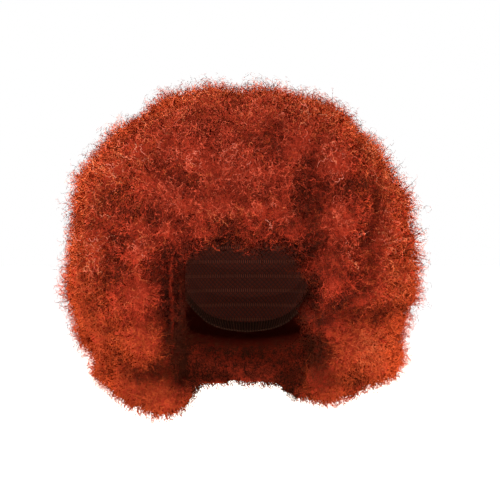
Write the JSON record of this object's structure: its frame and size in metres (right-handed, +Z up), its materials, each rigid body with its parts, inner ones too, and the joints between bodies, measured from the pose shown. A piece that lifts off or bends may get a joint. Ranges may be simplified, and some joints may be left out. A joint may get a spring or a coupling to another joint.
{
  "type": "afro wig",
  "caption": "Full rounded afro wig: a deep ball of frizzy locks on a stretch cap with an elastic edge, open at the face and neck so that a head goes in.",
  "frame": {"origin": "where the crown of the head meets the inside of the cap", "axes": "+Z up along the head, -Y the way the wearer faces, +X towards the wearer's left"},
  "size_m": [0.3657, 0.3413, 0.3246],
  "materials": {
    "cap_net": "matte knitted net",
    "elastic": "matte ribbed elastic",
    "hair_fibre": "frizzy auburn synthetic fibre with a soft sheen"
  },
  "bodies": {
    "root": {"cap": "cap_net", "edge_band": "elastic", "hair": "hair_fibre"}
  },
  "joints": []
}
